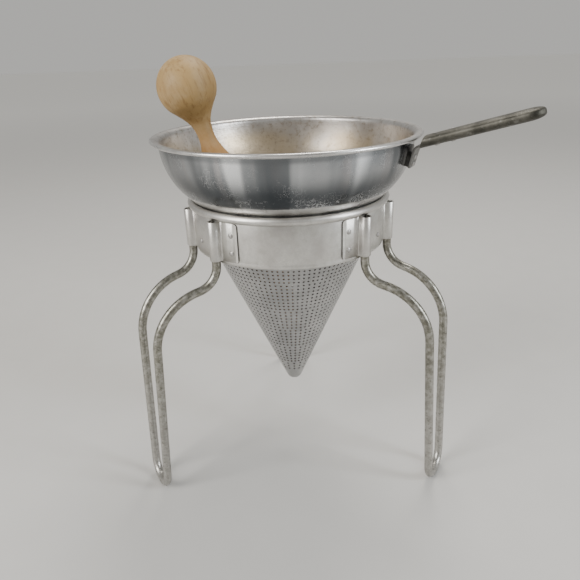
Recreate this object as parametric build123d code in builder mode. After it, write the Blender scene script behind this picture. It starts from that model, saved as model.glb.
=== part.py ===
"""Chinois strainer: a perforated cone hung in a handled bowl, on a ring with wire legs, with a pestle."""

from build123d import *
from math import asin, atan2, cos, degrees, radians, sin, sqrt, tan
import os

os.makedirs("parts", exist_ok=True)

# Frame: the floor is z = 0, the stand's axis is z, and the front is -y.
# Angles run from +x towards +y, seen from above.
leg_angles = {"left": -150, "right": -30, "rear": 90}
handle_angle = -28

# Gaps between pieces that are riveted together, or that rest on each other
riveted_gap = 0.05
resting_gap = 0.2

# Ring band: a strip with its upper edge curled outwards and its lower edge folded in
stand_height = 223.4
band_radius = 73.4
band_sheet = 0.9
band_height = 37.1
bead_radius = 2.9
bead_stand_off = 1.0
bead_seam = 0.5
hem_height = 2.9
hem_folds = 2

# Leg wire and the hairpin that it is bent to: the spreads are half spacings
wire_diameter = 6.35
wire_clearance = 0.1
wire_end_drop = 5.3
prong_length = 40.9
prong_spread = 21.9
shoulder_bend = 17.8
knee_overhang = 47.8
knee_drop = 10.7
knee_spread = 18.6
knee_bend = 41.8
foot_splay = 7.6
foot_spread = 14.0
foot_bend = 13.5
foot_wear = 0.3

# Bracket plates, each pressed out round two prongs
bracket_sheet = 0.9
bracket_height = 28.5
bracket_rise = 2.5
bracket_half_angle = 31
tab_corner = 2.2

# Rivets, and the places of five on a bracket: angle from its middle, share of its height
rivet_shank = 2.4
rivet_clearance = 0.05
rivet_head = 3.6
rivet_head_height = 0.8
rivet_head_round = 0.4
rivet_tail = 3.4
rivet_tail_height = 0.4
tab_rivet_angle = 27
tab_rivet_shares = (0.235, 0.69)
middle_rivet_share = 0.31

# Bowl: a floor ring, a rounded wall and a flat lip with a rolled edge
bowl_sheet = 1.2
floor_inset = 0.5
floor_bend = 2.0
wall_foot_reach = 4.1
wall_foot_rise = 3.8
wall_bulge_reach = 14.5
wall_bulge_rise = 13.5
wall_reach = 16.4
wall_rise = 35.0
lip_reach = 6.6
lip_rise = 5.8
lip_roll = 1.3
lip_bend = 2.6

# Sieve cone, hung in the bowl's hole by its flared flange
sieve_sheet = 1.0
flare_bend = 1.0
collar_play = 1.3
collar_gap = 0.2
collar_bend = 0.9
collar_depth = 18.0
cone_depth = 148.7
cone_bend = 4.0
nose_radius = 4.6
nose_bend = 3.5

# Perforations: rows down the cone, in bands that thin out towards the nose
plain_top = 13.2
plain_nose = 13.1
band_rows_and_columns = ((8, 72), (8, 60), (6, 48), (6, 36), (6, 24), (3, 12))
row_step = 2
column_step = 2
hole_width = 1.6

# Handle bracket: a pad on the bowl's wall, a spacer, and a strap that bends up into the handle
bracket_strap = 1.6
pad_height = 12.5
pad_rise = 21.8
pad_width = 16.0
pad_corner = 2.5
spacer_depth = 2.2
spacer_height = 7.6
spacer_width = 14.0
strap_foot_shares = (0.66, 0.88)
strap_bend = 3.0
tang_width = 14.0
tang_length = 24.0
tang_root = 4.5
tang_drop = 1.8
tang_bend = 4.0
tang_clearance = 0.1
pad_rivet_shares = (0.25, 0.78)
tang_rivet_shares = (0.35, 0.8)

# Handle: a flat bar that rises away from the bowl
handle_stand_off = 3.5
handle_drop = 3.7
handle_rise = 16.1
handle_length = 75.5
handle_depth = 7.5
handle_width = 19.0
handle_neck_width = 16.0
handle_round = 2.6
handle_end_slant = 33.2

# Pestle: a turned club that leans on the cone, its tip ball on the strainer's axis
pestle_lean = 17.6
pestle_gap = 0.34
tip_radius = 12.5
taper_length = 134.0
knob_radius = 21.5
knob_height = 232.6
knob_join = 12.0
cheek_radius = 13.3
cheek_height = 215.2
chin_radius = 9.5
chin_height = 210.0
throat_radius = 7.0
throat_height = 204.3
neck_radius = 6.1
neck_height = 196.0
ankle_radius = 7.6
ankle_height = 187.6
flare_radius = 13.3
flare_height = 173.4
swell_radius = 22.6
swell_height = 153.0
belly_radius = 27.0
belly_height = 139.0

# Sizes that follow, the stand's first
wire_radius = wire_diameter / 2
bead_centre_radius = band_radius + bead_stand_off
bead_height = stand_height - bead_radius
band_bottom = stand_height - band_height
bracket_bottom = band_bottom + bracket_rise
wire_top = bracket_bottom + bracket_height - wire_end_drop
shoulder_height = wire_top - prong_length
knee_height = shoulder_height - knee_drop
knee_reach = band_radius + knee_overhang
foot_reach = knee_reach + foot_splay
plate_inner = band_radius + riveted_gap
plate_outer = plate_inner + bracket_sheet
sleeve_centre_radius = band_radius + wire_clearance + wire_radius
sleeve_inner = wire_radius + wire_clearance
sleeve_outer = sleeve_inner + bracket_sheet
prong_angle = degrees(asin(prong_spread / sleeve_centre_radius))
prong_reach = sqrt(sleeve_centre_radius**2 - prong_spread**2)
rivet_hole = rivet_shank / 2 + rivet_clearance

# Sizes of the bowl that follow
floor_middle = stand_height + resting_gap + bowl_sheet / 2
floor_radius = band_radius - floor_inset
wall_foot_radius = floor_radius + wall_foot_reach
wall_foot_height = floor_middle + wall_foot_rise
wall_top_radius = wall_foot_radius + wall_reach
wall_top_height = wall_foot_height + wall_rise
lip_radius = wall_top_radius + lip_reach
lip_top = wall_top_height + lip_rise
lip_middle = lip_top - bowl_sheet / 2
pad_bottom = wall_foot_height + pad_rise
handle_reach = lip_radius + handle_stand_off
handle_height = lip_top - handle_drop
strap_stand_off = bowl_sheet / 2 + riveted_gap + spacer_depth + 2 * bracket_strap
foot_slope = atan2(wall_foot_rise, wall_foot_reach)

# Sizes of the sieve cone and the pestle that follow
sheet_spacing = bowl_sheet / 2 + riveted_gap + sieve_sheet / 2
collar_radius = band_radius - band_sheet - collar_play
collar_middle = collar_radius - sieve_sheet / 2
bowl_hole_radius = collar_radius + collar_gap
cone_top = floor_middle - collar_depth
nose_height = cone_top - cone_depth
cone_slope = (collar_middle - nose_radius) / cone_depth
cone_half_angle = atan2(cone_slope, 1)
row_columns = [columns for rows, columns in band_rows_and_columns for _ in range(rows)]
row_pitch = (cone_depth - plain_top - plain_nose) / (len(row_columns) - 1)
tip_spacing = (tip_radius + pestle_gap + sieve_sheet / 2) / cos(cone_half_angle)
tip_height = nose_height + (tip_spacing - nose_radius) / cone_slope
bracket_rivet_places = [
    (side * tab_rivet_angle, share) for side in (-1, 1) for share in tab_rivet_shares
] + [(0, middle_rivet_share)]


def point_at(angle, reach, height, aside=0):
    """A point in the upright plane at an angle from +x, or set aside from that plane."""
    turn = radians(angle)
    across = reach * cos(turn) - aside * sin(turn)
    along = reach * sin(turn) + aside * cos(turn)
    return Vector(across, along, height)


def upright_plane(angle):
    """The plane through the stand's axis at an angle: x runs outwards and y runs up."""
    turn = radians(angle)
    return Plane(origin=(0, 0, 0), x_dir=(cos(turn), sin(turn), 0), z_dir=(sin(turn), -cos(turn), 0))


def facing_plane(angle, reach, height):
    """The plane that faces outwards at a point: x runs round and y runs up."""
    turn = radians(angle)
    return Plane(
        origin=point_at(angle, reach, height),
        x_dir=(-sin(turn), cos(turn), 0),
        z_dir=(cos(turn), sin(turn), 0),
    )


def rivet(seat, grip):
    """A rivet with its head on a plane, and its tail closed on the far side of a grip."""
    with BuildPart() as piece:
        with BuildSketch(seat):
            Circle(rivet_head / 2)
        extrude(amount=rivet_head_height)
        fillet(piece.edges().sort_by(Axis(seat.origin, seat.z_dir))[-1], rivet_head_round)
        with BuildSketch(seat):
            Circle(rivet_shank / 2)
        extrude(amount=-grip)
        with BuildSketch(seat.offset(-grip)):
            Circle(rivet_tail / 2)
        extrude(amount=-rivet_tail_height)
    return piece.part


def save(piece, name):
    """Label a finished piece and write it under its own name."""
    piece.part.label = name
    export_step(piece.part, f"parts/{name}.step")


# Ring band
with BuildPart() as ring_band:
    with BuildSketch(Plane.XZ):
        with Locations((band_radius, band_bottom)):
            Rectangle(band_sheet, bead_height - band_bottom, align=(Align.MAX, Align.MIN))
            Rectangle(hem_folds * band_sheet, hem_height, align=(Align.MAX, Align.MIN))
        with Locations((bead_centre_radius, bead_height)):
            Circle(bead_radius)
            Circle(bead_radius - band_sheet, mode=Mode.SUBTRACT)
        with Locations((band_radius, bead_height - bead_radius)):
            Rectangle(bead_seam, 2 * band_sheet, align=(Align.MIN, Align.CENTER), mode=Mode.SUBTRACT)
    revolve(axis=Axis.Z)
    for angle in leg_angles.values():
        for offset_angle, share in bracket_rivet_places:
            height = bracket_bottom + share * bracket_height
            with BuildSketch(facing_plane(angle + offset_angle, band_radius, height)):
                Circle(rivet_hole)
            extrude(amount=hem_folds * band_sheet, both=True, mode=Mode.SUBTRACT)
save(ring_band, "ring_band")

# Bracket plates, one for each leg
for side, angle in leg_angles.items():
    with BuildPart() as bracket:
        with BuildSketch(Plane.XY.offset(bracket_bottom)):
            with BuildLine():
                start = angle - bracket_half_angle
                outer = CenterArc((0, 0), plate_outer, start, 2 * bracket_half_angle)
                inner = CenterArc((0, 0), plate_inner, start, 2 * bracket_half_angle)
                Line(outer @ 0, inner @ 0)
                Line(outer @ 1, inner @ 1)
            make_face()
            with PolarLocations(
                sleeve_centre_radius, 2, angle - prong_angle, 2 * prong_angle, endpoint=True
            ):
                Circle(sleeve_outer)
                Rectangle(sleeve_outer, 2 * sleeve_outer, align=(Align.MAX, Align.CENTER))
                Circle(sleeve_inner, mode=Mode.SUBTRACT)
                Rectangle(
                    2 * sleeve_outer,
                    2 * sleeve_inner,
                    align=(Align.MAX, Align.CENTER),
                    mode=Mode.SUBTRACT,
                )
            Circle(plate_inner, mode=Mode.SUBTRACT)
        extrude(amount=bracket_height)
        for end_angle in (angle - bracket_half_angle, angle + bracket_half_angle):
            tab_end = Axis((0, 0, bracket_bottom), point_at(end_angle, plate_outer, 0))
            fillet(bracket.edges().filter_by(tab_end), tab_corner)
        for offset_angle, share in bracket_rivet_places:
            height = bracket_bottom + share * bracket_height
            with BuildSketch(facing_plane(angle + offset_angle, plate_inner, height)):
                Circle(rivet_hole)
            extrude(amount=2 * bracket_sheet, both=True, mode=Mode.SUBTRACT)
    save(bracket, f"bracket_{side}")

# Bracket rivets, five through each plate and the band
for side, angle in leg_angles.items():
    with BuildPart() as bracket_rivets:
        for offset_angle, share in bracket_rivet_places:
            height = bracket_bottom + share * bracket_height
            seat = facing_plane(angle + offset_angle, plate_outer, height)
            add(rivet(seat, plate_outer - band_radius + band_sheet + riveted_gap))
    save(bracket_rivets, f"bracket_rivets_{side}")

# Legs: one wire each, bent to a hairpin with both ends in a bracket's sleeves
foot_height = wire_radius - foot_wear
for side, angle in leg_angles.items():
    with BuildPart() as leg:
        with BuildLine() as wire_path:
            prong = [
                (prong_reach, prong_spread, wire_top),
                (prong_reach, prong_spread, shoulder_height),
                (knee_reach, knee_spread, knee_height),
                (foot_reach, foot_spread, foot_height),
            ]
            down = [point_at(angle, reach, height, spread) for reach, spread, height in prong]
            back = [point_at(angle, reach, height, -spread) for reach, spread, height in reversed(prong)]
            bends = [shoulder_bend, knee_bend, foot_bend]
            FilletPolyline(*down, *back, radius=bends + bends[::-1])
        with BuildSketch(Plane(origin=wire_path.line @ 0, z_dir=wire_path.line % 0)):
            Circle(wire_radius)
        sweep()
        split(bisect_by=Plane.XY, keep=Keep.TOP)
    save(leg, f"leg_{side}")

# Bowl
wall_foot = (wall_foot_radius, wall_foot_height)
wall_curve = Bezier(
    wall_foot,
    (wall_foot_radius + wall_bulge_reach, wall_foot_height + wall_bulge_rise),
    (wall_top_radius, wall_top_height),
)


def wall_seat(share, stand_off):
    """The plane that faces out of the bowl's wall under the strap's foot, at a share of that foot."""
    foot_start = wall_curve @ strap_foot_shares[0]
    foot_end = wall_curve @ strap_foot_shares[1]
    place = foot_start + (foot_end - foot_start) * share
    climb = (foot_end - foot_start).normalized()
    turn = radians(handle_angle)
    return Plane(
        origin=point_at(handle_angle, place.X + stand_off * climb.Y, place.Y - stand_off * climb.X),
        x_dir=(-sin(turn), cos(turn), 0),
        z_dir=(climb.Y * cos(turn), climb.Y * sin(turn), -climb.X),
    )


with BuildPart() as bowl:
    with BuildSketch(Plane.XZ):
        with BuildLine():
            FilletPolyline(
                (bowl_hole_radius, floor_middle),
                (floor_radius, floor_middle),
                wall_foot,
                radius=floor_bend,
            )
            add(wall_curve)
            lip_start = (wall_top_radius + lip_bend, lip_middle)
            TangentArc(wall_curve @ 1, lip_start, tangent=wall_curve % 1)
            Line(lip_start, (lip_radius - lip_roll, lip_middle))
        trace(line_width=bowl_sheet)
        with Locations((lip_radius - lip_roll, lip_top - lip_roll)):
            Circle(lip_roll)
    revolve(axis=Axis.Z)
    for share in pad_rivet_shares:
        with BuildSketch(wall_seat(share, 0)):
            Circle(rivet_hole)
        extrude(amount=2 * bowl_sheet, both=True, mode=Mode.SUBTRACT)
save(bowl, "bowl")

# Sieve cone, its flange nested on the bowl's floor and foot
with BuildPart() as sieve_cone:
    with BuildSketch(Plane.XZ):
        with BuildLine():
            flange_middle = floor_middle + sheet_spacing
            edge_radius = wall_foot_radius - sheet_spacing * sin(foot_slope)
            edge_height = wall_foot_height + sheet_spacing * cos(foot_slope)
            FilletPolyline(
                (edge_radius, edge_height),
                (floor_radius - sheet_spacing * tan(foot_slope / 2), flange_middle),
                (collar_middle, flange_middle),
                (collar_middle, cone_top),
                (nose_radius, nose_height),
                (0, nose_height),
                radius=[flare_bend, collar_bend, cone_bend, nose_bend],
            )
        trace(line_width=sieve_sheet)
    revolve(axis=Axis.Z)
    for row in range(0, len(row_columns), row_step):
        height = cone_top - plain_top - row * row_pitch
        row_radius = nose_radius + (height - nose_height) * cone_slope
        near = row_radius - 2 * sieve_sheet
        far = row_radius + 2 * sieve_sheet
        side_slope = hole_width / 2 / row_radius
        with BuildSketch(Plane.XY.offset(height - hole_width / 2)):
            with PolarLocations(0, row_columns[row] // column_step):
                Polygon(
                    (near, -near * side_slope),
                    (far, -far * side_slope),
                    (far, far * side_slope),
                    (near, near * side_slope),
                    align=None,
                )
    extrude(amount=hole_width, mode=Mode.SUBTRACT)
save(sieve_cone, "sieve_cone")

# Handle bracket: the pad follows the wall, and the strap bends up from it into the handle
handle_origin = point_at(handle_angle, handle_reach, handle_height)
rise = radians(handle_rise)
turn = radians(handle_angle)
handle_plane = Plane(
    origin=handle_origin,
    x_dir=(cos(rise) * cos(turn), cos(rise) * sin(turn), sin(rise)),
    z_dir=(-sin(rise) * cos(turn), -sin(rise) * sin(turn), cos(rise)),
)


def tang_point(along):
    """A point of the tang's middle plane, by its distance along the handle, as reach and height."""
    reach = handle_reach + along * cos(rise) + tang_drop * sin(rise)
    return (reach, handle_height + along * sin(rise) - tang_drop * cos(rise))


def wall_layer(depth, width, height):
    """A rounded plate on the bowl's wall under the handle, bent to the wall."""
    swing = degrees(width / wall_top_radius)
    with BuildPart() as layer:
        with BuildSketch(upright_plane(handle_angle - swing)):
            with BuildLine():
                add(wall_curve)
            trace(line_width=bowl_sheet + 2 * riveted_gap + 2 * depth)
            with BuildLine():
                add(wall_curve)
            trace(line_width=bowl_sheet + 2 * riveted_gap, mode=Mode.SUBTRACT)
            with BuildLine():
                add(wall_curve)
                Polyline(wall_curve @ 1, (0, wall_top_height), (0, wall_foot_height), wall_curve @ 0)
            make_face(mode=Mode.SUBTRACT)
        revolve(axis=Axis.Z, revolution_arc=2 * swing)
        with BuildSketch(facing_plane(handle_angle, wall_foot_radius, pad_bottom + height / 2)):
            RectangleRounded(width, height, pad_corner)
        extrude(amount=handle_reach, mode=Mode.INTERSECT)
    return layer.part


with BuildPart() as handle_bracket:
    add(wall_layer(bracket_strap, pad_width, pad_height))
    add(wall_layer(bracket_strap + spacer_depth, spacer_width, spacer_height))
    with BuildSketch(upright_plane(handle_angle)):
        with BuildLine():
            foot_seats = [wall_seat(share, strap_stand_off - bracket_strap / 2) for share in (0, 1)]
            foot = [(sqrt(seat.origin.X**2 + seat.origin.Y**2), seat.origin.Z) for seat in foot_seats]
            FilletPolyline(
                *foot,
                tang_point(-tang_root),
                tang_point(tang_length),
                radius=[strap_bend, tang_bend],
            )
        trace(line_width=bracket_strap)
    extrude(amount=tang_width / 2, both=True)
    for share in pad_rivet_shares:
        with BuildSketch(wall_seat(share, 0)):
            Circle(rivet_hole)
        extrude(amount=strap_stand_off + bracket_strap, mode=Mode.SUBTRACT)
    for share in tang_rivet_shares:
        with BuildSketch(handle_plane):
            with Locations((share * tang_length, 0)):
                Circle(rivet_hole)
        extrude(amount=handle_depth, both=True, mode=Mode.SUBTRACT)
save(handle_bracket, "handle_bracket")

# Handle, with a slot for the tang and a slanted inner end
with BuildPart() as handle:
    with BuildSketch(handle_plane):
        end_middle = handle_length - handle_width / 2
        with BuildLine():
            rim = CenterArc((end_middle, 0), handle_width / 2, -90, 180)
            Line(rim @ 0, (-handle_depth, -handle_neck_width / 2))
            Line((-handle_depth, -handle_neck_width / 2), (-handle_depth, handle_neck_width / 2))
            Line((-handle_depth, handle_neck_width / 2), rim @ 1)
        make_face()
    extrude(amount=handle_depth / 2, both=True)
    fillet(handle.faces().sort_by(Axis(handle_origin, handle_plane.z_dir))[-1].edges(), handle_round)
    fillet(handle.faces().sort_by(Axis(handle_origin, handle_plane.z_dir))[0].edges(), handle_round)
    slant = radians(handle_end_slant) - rise
    end_face = Plane(
        origin=handle_origin,
        z_dir=(cos(slant) * cos(turn), cos(slant) * sin(turn), -sin(slant)),
    )
    split(bisect_by=end_face, keep=Keep.TOP)
    with BuildSketch(handle_plane.offset(-tang_drop)):
        Rectangle(
            2 * (tang_length + tang_clearance),
            tang_width + 2 * tang_clearance,
        )
    extrude(amount=bracket_strap / 2 + tang_clearance, both=True, mode=Mode.SUBTRACT)
    for share in tang_rivet_shares:
        with BuildSketch(handle_plane):
            with Locations((share * tang_length, 0)):
                Circle(rivet_hole)
        extrude(amount=handle_depth, both=True, mode=Mode.SUBTRACT)
save(handle, "handle")

# Rivets through the strap's foot, heads outside the bowl
with BuildPart() as pad_rivets:
    for share in pad_rivet_shares:
        add(rivet(wall_seat(share, strap_stand_off), strap_stand_off + bowl_sheet / 2 + riveted_gap))
save(pad_rivets, "pad_rivets")

# Rivets of the tang, heads under the handle
with BuildPart() as tang_rivets:
    for share in tang_rivet_shares:
        seat = Plane(
            origin=handle_plane.from_local_coords((share * tang_length, 0, -handle_depth / 2)),
            x_dir=handle_plane.y_dir,
            z_dir=-handle_plane.z_dir,
        )
        add(rivet(seat, handle_depth))
save(tang_rivets, "tang_rivets")

# Pestle
lean = radians(pestle_lean)
pestle_plane = Plane(
    origin=(0, 0, tip_height),
    x_dir=(cos(lean), 0, sin(lean)),
    z_dir=(0, -1, 0),
)
taper = degrees(cone_half_angle) - pestle_lean
with BuildPart() as pestle:
    with BuildSketch(pestle_plane):
        with BuildLine():
            tip = CenterArc((0, 0), tip_radius, -90, 90 - taper)
            belly = PolarLine(tip @ 1, taper_length, direction=tip % 1)
            knob_edge = (sqrt(knob_radius**2 - knob_join**2), knob_height - knob_join)
            knob = ThreePointArc(knob_edge, (knob_radius, knob_height), (0, knob_height + knob_radius))
            Spline(
                belly @ 1,
                (belly_radius, belly_height),
                (swell_radius, swell_height),
                (flare_radius, flare_height),
                (ankle_radius, ankle_height),
                (neck_radius, neck_height),
                (throat_radius, throat_height),
                (chin_radius, chin_height),
                (cheek_radius, cheek_height),
                knob_edge,
            )
            Line(knob @ 1, tip @ 0)
        make_face()
    revolve(axis=Axis(pestle_plane.origin, pestle_plane.y_dir))
save(pestle, "pestle")
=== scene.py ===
"""Looks of the chinois strainer: spun and perforated sheet metal, wire legs and a turned wooden pestle."""

from math import acos, asin, atan2, ceil, copysign, cos, degrees, pi, radians, sin, sqrt, tan

import bmesh
import bpy
from mathutils import Matrix, Vector


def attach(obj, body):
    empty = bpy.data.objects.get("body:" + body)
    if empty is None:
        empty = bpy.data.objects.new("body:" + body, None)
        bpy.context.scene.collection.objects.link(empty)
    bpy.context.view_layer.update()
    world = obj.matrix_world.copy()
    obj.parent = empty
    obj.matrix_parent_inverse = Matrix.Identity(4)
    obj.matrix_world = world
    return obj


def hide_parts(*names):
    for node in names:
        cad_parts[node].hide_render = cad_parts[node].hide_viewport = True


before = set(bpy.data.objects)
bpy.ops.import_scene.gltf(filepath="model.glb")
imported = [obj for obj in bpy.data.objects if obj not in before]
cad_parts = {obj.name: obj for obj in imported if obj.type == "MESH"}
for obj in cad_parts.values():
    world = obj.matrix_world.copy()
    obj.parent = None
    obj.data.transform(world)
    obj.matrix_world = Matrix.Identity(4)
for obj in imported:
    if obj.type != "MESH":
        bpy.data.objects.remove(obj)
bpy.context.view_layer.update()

# Sizes are in millimetres, and MM turns them into metres
MM = 0.001

# Camera, with the frame's origin on the floor under the stand's axis
IMAGE_SIDE = 580
FOCAL_PIXELS = 562.12
SENSOR_WIDTH = 36.0
CAMERA_PLACE = (0.0, -429.92, 325.84)
CAMERA_PITCH = radians(23.39)
CAMERA_YAW = radians(-0.18)
CAMERA_ROLL = radians(2.07)

# Half the side of the studio's floor, in metres
FLOOR_REACH = 12.0

# Places round the axis, from +x towards +y
LEG_ANGLES = {"left": radians(-150), "right": radians(-30), "rear": radians(90)}
HANDLE_ANGLE = radians(-28)

# Ring band
BAND_RADIUS = 73.4
BAND_SHEET = 0.9
BAND_BOTTOM = 186.3
BEAD_HEIGHT = 220.5
BEAD_RADIUS = 2.9
BEAD_STAND_OFF = 1.0
HEM_HEIGHT = 2.9
HEM_SWELL = 0.1
HEM_SOFTNESS = 0.7

# Leg wire
WIRE_RADIUS = 3.175
WIRE_CLEARANCE = 0.1
WIRE_TOP = 212.0
WIRE_END_ROUND = 0.6
PRONG_SPREAD = 21.9
SHOULDER_HEIGHT = 171.1
KNEE = (121.2, 18.6, 160.4)
FOOT = (128.8, 14.0)
FOOT_WEAR = 0.3
LEG_BENDS = (17.8, 41.8, 13.5)

# Bracket plates
BRACKET_SHEET = 0.9
RIVETED_GAP = 0.05
BRACKET_BOTTOM = 188.8
BRACKET_TOP = 217.3
BRACKET_HALF_ANGLE = radians(31)
BRACKET_EDGE_SHARE = 0.22
TAB_CORNER = 2.2
EDGE_STRIPS = (0, 1, 5, 6)  # painted shade strips of a plate's eight: both edges, towards the band
SLEEVE_BEND = 1.3
SLEEVE_FOOT = 0.26
SLEEVE_FLARE = 1.35
RIVET_HEAD = 1.8
RIVET_HEAD_HEIGHT = 0.8
RIVET_TAIL = 1.7
RIVET_TAIL_HEIGHT = 0.4
RIVET_SHANK = 1.152
TAB_RIVET_ANGLE = radians(27)
TAB_RIVET_SHARES = (0.235, 0.69)
MIDDLE_RIVET_SHARE = 0.31

# Bowl
LIP_RADIUS = 100.0
LIP_TOP = 268.8
LIP_ROLL = 1.3
LIP_BEND = 2.6
LIP_FLARE = 0.35
LIP_FLARE_BEND = 3.64
BOWL_SHEET = 1.2
FLOOR_MIDDLE = 224.2
FLOOR_RADIUS = 72.9
FLOOR_BEND = 2.0
BOWL_HOLE_RADIUS = 71.4
WALL_FOOT = (77.0, 228.0)
WALL_BULGE = (91.5, 241.5)
WALL_TOP = (93.4, 263.0)
SATIN_FOOT_TOP = 230.5

# Sieve cone. Each group of rows, from the top, states its rows, the holes in a row and how far the
# first hole is turned from the front, in steps from hole to hole. A border between two rows of one
# group skips ring points, up to SPARSE_STRIDE of them from one of its points to the next.
SIEVE_SHEET = 1.0
COLLAR_MIDDLE = 70.7
CONE_TOP = 206.2
CONE_BEND = 4.0
COLLAR_BEND = 0.9
FLARE_BEND = 1.0
NOSE_RADIUS = 4.6
NOSE_HEIGHT = 57.5
NOSE_BEND = 3.5
CONE_SLOPE = (COLLAR_MIDDLE - NOSE_RADIUS) / (CONE_TOP - NOSE_HEIGHT)
CONE_LEAN = atan2(CONE_SLOPE, 1.0)
TOP_ROW_HEIGHT = 193.0
ROW_PITCH = 3.4
HOLE_RADIUS = 0.82
DIMPLE_RADIUS = 1.06
DIMPLE_DEPTH = 0.14
HOLE_SIDES = 8
RING_POINTS = 480
SPARSE_STRIDE = 6
ROWS_COLUMNS_PHASE = ((8, 96, 0.5), (8, 80, 0.1), (6, 60, -0.25), (6, 48, 0.45), (6, 32, 0.3), (3, 16, 0.0))

# Handle and its bracket
HANDLE_REACH = 103.5
HANDLE_HEIGHT = 265.1
HANDLE_RISE = radians(16.1)
HANDLE_LENGTH = 75.5
HANDLE_DEPTH = 7.5
HANDLE_WIDTH = 19.0
HANDLE_NECK_WIDTH = 16.0
HANDLE_END_SLANT = radians(33.2)
HANDLE_SQUARENESS = 2.6
HANDLE_TIP_FULLNESS = 0.28
HANDLE_SLANT_REACH = 20.0
STRAP_SHEET = 1.6
STRAP_BEND = 3.0
STRAP_EDGE_SHARE = 0.2
STRAP_END_TAPER = 0.9
STRAP_FOOT_SHARES = (0.66, 0.88)
STRAP_RIVET_SHARES = (0.25, 0.78)
PAD_BOTTOM = 249.8
PAD_HEIGHT = 12.5
PAD_WIDTH = 16.0
PAD_CORNER = 2.5
SPACER_DEPTH = 2.2
SPACER_HEIGHT = 7.6
SPACER_WIDTH = 14.0
TANG_WIDTH = 14.0
TANG_DROP = 1.8
TANG_ROOT = 4.5
TANG_LENGTH = 6.0
TANG_BEND = 4.0
TANG_RIVETS = (8.4, 19.2)

# Pestle, measured along its own axis from the centre of its tip ball
PESTLE_LEAN = radians(17.6)
TIP_HEIGHT = 80.0
TIP_RADIUS = 12.5
TAPER_LENGTH = 134.0
KNOB_RADIUS = 21.5
KNOB_HEIGHT = 232.6
KNOB_JOIN = 12.0
SHANK_LOW = ((27.0, 139.0), (22.6, 153.0), (13.3, 173.4), (7.6, 187.6), (6.1, 196.0))
SHANK_HIGH = ((7.0, 204.3), (9.5, 210.0), (13.3, 215.2))

# A dark knot on the pestle's knob, on the side towards the front left
KNOT_PLACE = Vector((-84.5, -15.0, 291.5)) * MM

# Sides of the round shapes
SHEET_SIDES = 256
WOOD_SIDES = 128
HANDLE_SIDES = 48
WIRE_SIDES = 28
RIVET_SIDES = 20


class Signal:
    """A socket of a finish's node tree. Arithmetic on it adds Math nodes."""

    def __init__(self, finish, socket):
        self.finish = finish
        self.socket = socket

    def math(self, operation, *values):
        return self.finish.node("ShaderNodeMath", {"operation": operation}, list(values))

    def __add__(self, other):
        return self.math("ADD", self, other)

    __radd__ = __add__

    def __sub__(self, other):
        return self.math("SUBTRACT", self, other)

    def __rsub__(self, other):
        return self.math("SUBTRACT", other, self)

    def __mul__(self, other):
        return self.math("MULTIPLY", self, other)

    def __abs__(self):
        return self.math("ABSOLUTE", self)

    def power(self, other):
        return self.math("POWER", self, other)

    def clamp(self):
        """The value held between 0 and 1."""
        return self.finish.node("ShaderNodeMath", {"operation": "ADD", "use_clamp": True}, [self, 0.0])

    def rise(self, start, end):
        """Climbs smoothly from 0 to 1 as the value goes from start to end."""
        settings = {"interpolation_type": "SMOOTHSTEP"}
        inputs = {"Value": self, "From Min": start, "From Max": end, "To Min": 0.0, "To Max": 1.0}
        return self.finish.node("ShaderNodeMapRange", settings, inputs)


class Finish:
    """A material of procedural nodes round one Principled shader."""

    def __init__(self, name, **constants):
        self.material = bpy.data.materials.new(name)
        self.material.use_nodes = True
        self.tree = self.material.node_tree
        self.tree.nodes.clear()
        self.shader = self.tree.nodes.new("ShaderNodeBsdfPrincipled")
        output = self.tree.nodes.new("ShaderNodeOutputMaterial")
        self.tree.links.new(self.shader.outputs["BSDF"], output.inputs["Surface"])
        for socket, value in constants.items():
            self.shader.inputs[socket.replace("_", " ").title()].default_value = value
        self.place = self.node("ShaderNodeTexCoord", output="Object")
        self.x, self.y, self.z = self.split(self.place)

    def feed(self, socket, value):
        """Sets or links an input socket."""
        if isinstance(value, Signal):
            self.tree.links.new(value.socket, socket)
        else:
            socket.default_value = value

    def node(self, kind, settings=None, inputs=None, output=0):
        """Adds a node: its settings first, then its inputs by place or name."""
        node = self.tree.nodes.new(kind)
        for key, value in (settings or {}).items():
            setattr(node, key, value)
        pairs = inputs.items() if isinstance(inputs, dict) else enumerate(inputs or [])
        for key, value in pairs:
            self.feed(node.inputs[key], value)
        return Signal(self, node.outputs[output])

    def split(self, vector):
        """The three numbers of a vector."""
        parts = self.node("ShaderNodeSeparateXYZ", None, [vector]).socket.node
        return [Signal(self, socket) for socket in parts.outputs]

    def vector(self, x, y, z):
        return self.node("ShaderNodeCombineXYZ", None, [x, y, z])

    def noise(self, place, scale, detail=3.0, roughness=0.5, distortion=0.0):
        inputs = {"Vector": place, "Scale": scale, "Detail": detail}
        inputs.update({"Roughness": roughness, "Distortion": distortion})
        return self.node("ShaderNodeTexNoise", None, inputs)

    def speckle(self, place, scale):
        """The distance to the nearest of scattered points, in cells."""
        return self.node("ShaderNodeTexVoronoi", None, {"Vector": place, "Scale": scale}, output="Distance")

    def mix(self, amount, low, high):
        """A colour between two colours."""
        return self.node("ShaderNodeMix", {"data_type": "RGBA"}, {0: amount, 6: low, 7: high}, output=2)

    def around(self):
        """Angle round the z axis, in radians."""
        return self.node("ShaderNodeMath", {"operation": "ARCTAN2"}, [self.y, self.x])

    def scratches(self, place, scale, width):
        """Thin wandering lines, where a slow noise crosses its middle."""
        return 1.0 - abs(self.noise(place, scale, 2.0) - 0.5).rise(0.0, width)

    def bump(self, height, strength, distance, normal=None):
        inputs = {"Strength": strength, "Distance": distance, "Height": height}
        if normal is not None:
            inputs["Normal"] = normal
        return self.node("ShaderNodeBump", None, inputs)

    def show(self, **inputs):
        """Links the varying inputs of the shader and hands back the material."""
        for socket, value in inputs.items():
            self.feed(self.shader.inputs[socket.replace("_", " ").title()], value)
        return self.material


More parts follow.
